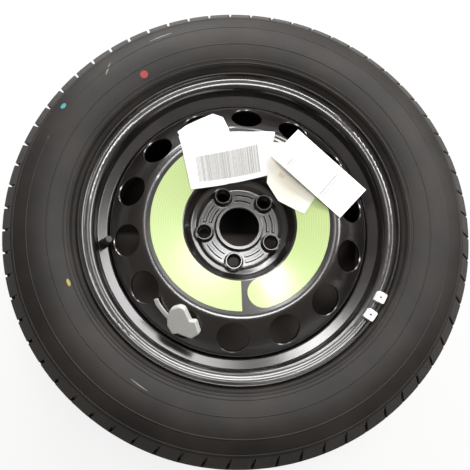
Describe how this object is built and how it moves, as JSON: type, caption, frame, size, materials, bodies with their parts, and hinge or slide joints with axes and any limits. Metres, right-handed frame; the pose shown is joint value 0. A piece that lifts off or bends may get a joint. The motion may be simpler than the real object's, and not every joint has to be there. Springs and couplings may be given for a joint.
{
  "type": "spare wheel",
  "caption": "Black pressed-steel spare wheel with round vents, a dished hub and a fitted road tyre, with valve, vinyl ring, paper labels and balance weights.",
  "frame": {"origin": "centre of the wheel, on the axle line in the middle plane of the rim", "axes": "+Z along the axle line out of the outer face, +X to the right and +Y up the picture"},
  "size_m": [0.6589, 0.659, 0.2192],
  "materials": {
    "black_enamel": "gloss black dip enamel",
    "tyre_rubber": "moulded rubber",
    "valve_rubber": "moulded rubber",
    "valve_brass": "turned brass",
    "seal_rubber": "moulded rubber",
    "spring_steel": "drawn wire",
    "cap_plastic": "moulded",
    "green_vinyl": "printed vinyl",
    "label_paper": "coated paper",
    "card_paper": "coated paper",
    "coated_zinc": "pale powder coat",
    "tag_plastic": "soft moulded"
  },
  "bodies": {
    "wheel": {"rim": "black_enamel", "wheel_disc": "black_enamel", "disc_welds": "black_enamel", "tyre": "tyre_rubber", "valve_body": "valve_rubber", "valve_stem": "valve_brass", "valve_core_barrel": "valve_brass", "valve_core_gasket": "seal_rubber", "valve_spring": "spring_steel", "centre_ring_sticker": "green_vinyl", "barcode_label": "label_paper", "corner_label": "label_paper", "card_label": "card_paper", "long_label": "label_paper", "balance_weight_lower": "coated_zinc", "balance_weight_upper": "coated_zinc", "grey_tag": "tag_plastic"},
    "pin": {"valve_pin": "valve_brass", "valve_pin_seal": "seal_rubber"},
    "cap": {"valve_cap": "cap_plastic", "valve_cap_seal": "seal_rubber"}
  },
  "joints": [
    {"name": "valve_pin_press", "type": "slide", "parent": "wheel", "child": "pin", "axis": [-0.4185, -0.0588, -0.9063], "range_m": [0, 0.0012], "stiffness_N_per_m": 800, "springref_m": -0.005, "deforming": ["valve_spring"]},
    {"name": "valve_cap_off", "type": "slide", "parent": "wheel", "child": "cap", "axis": [0.4185, 0.0588, 0.9063], "range_m": [0, 0.016]}
  ]
}
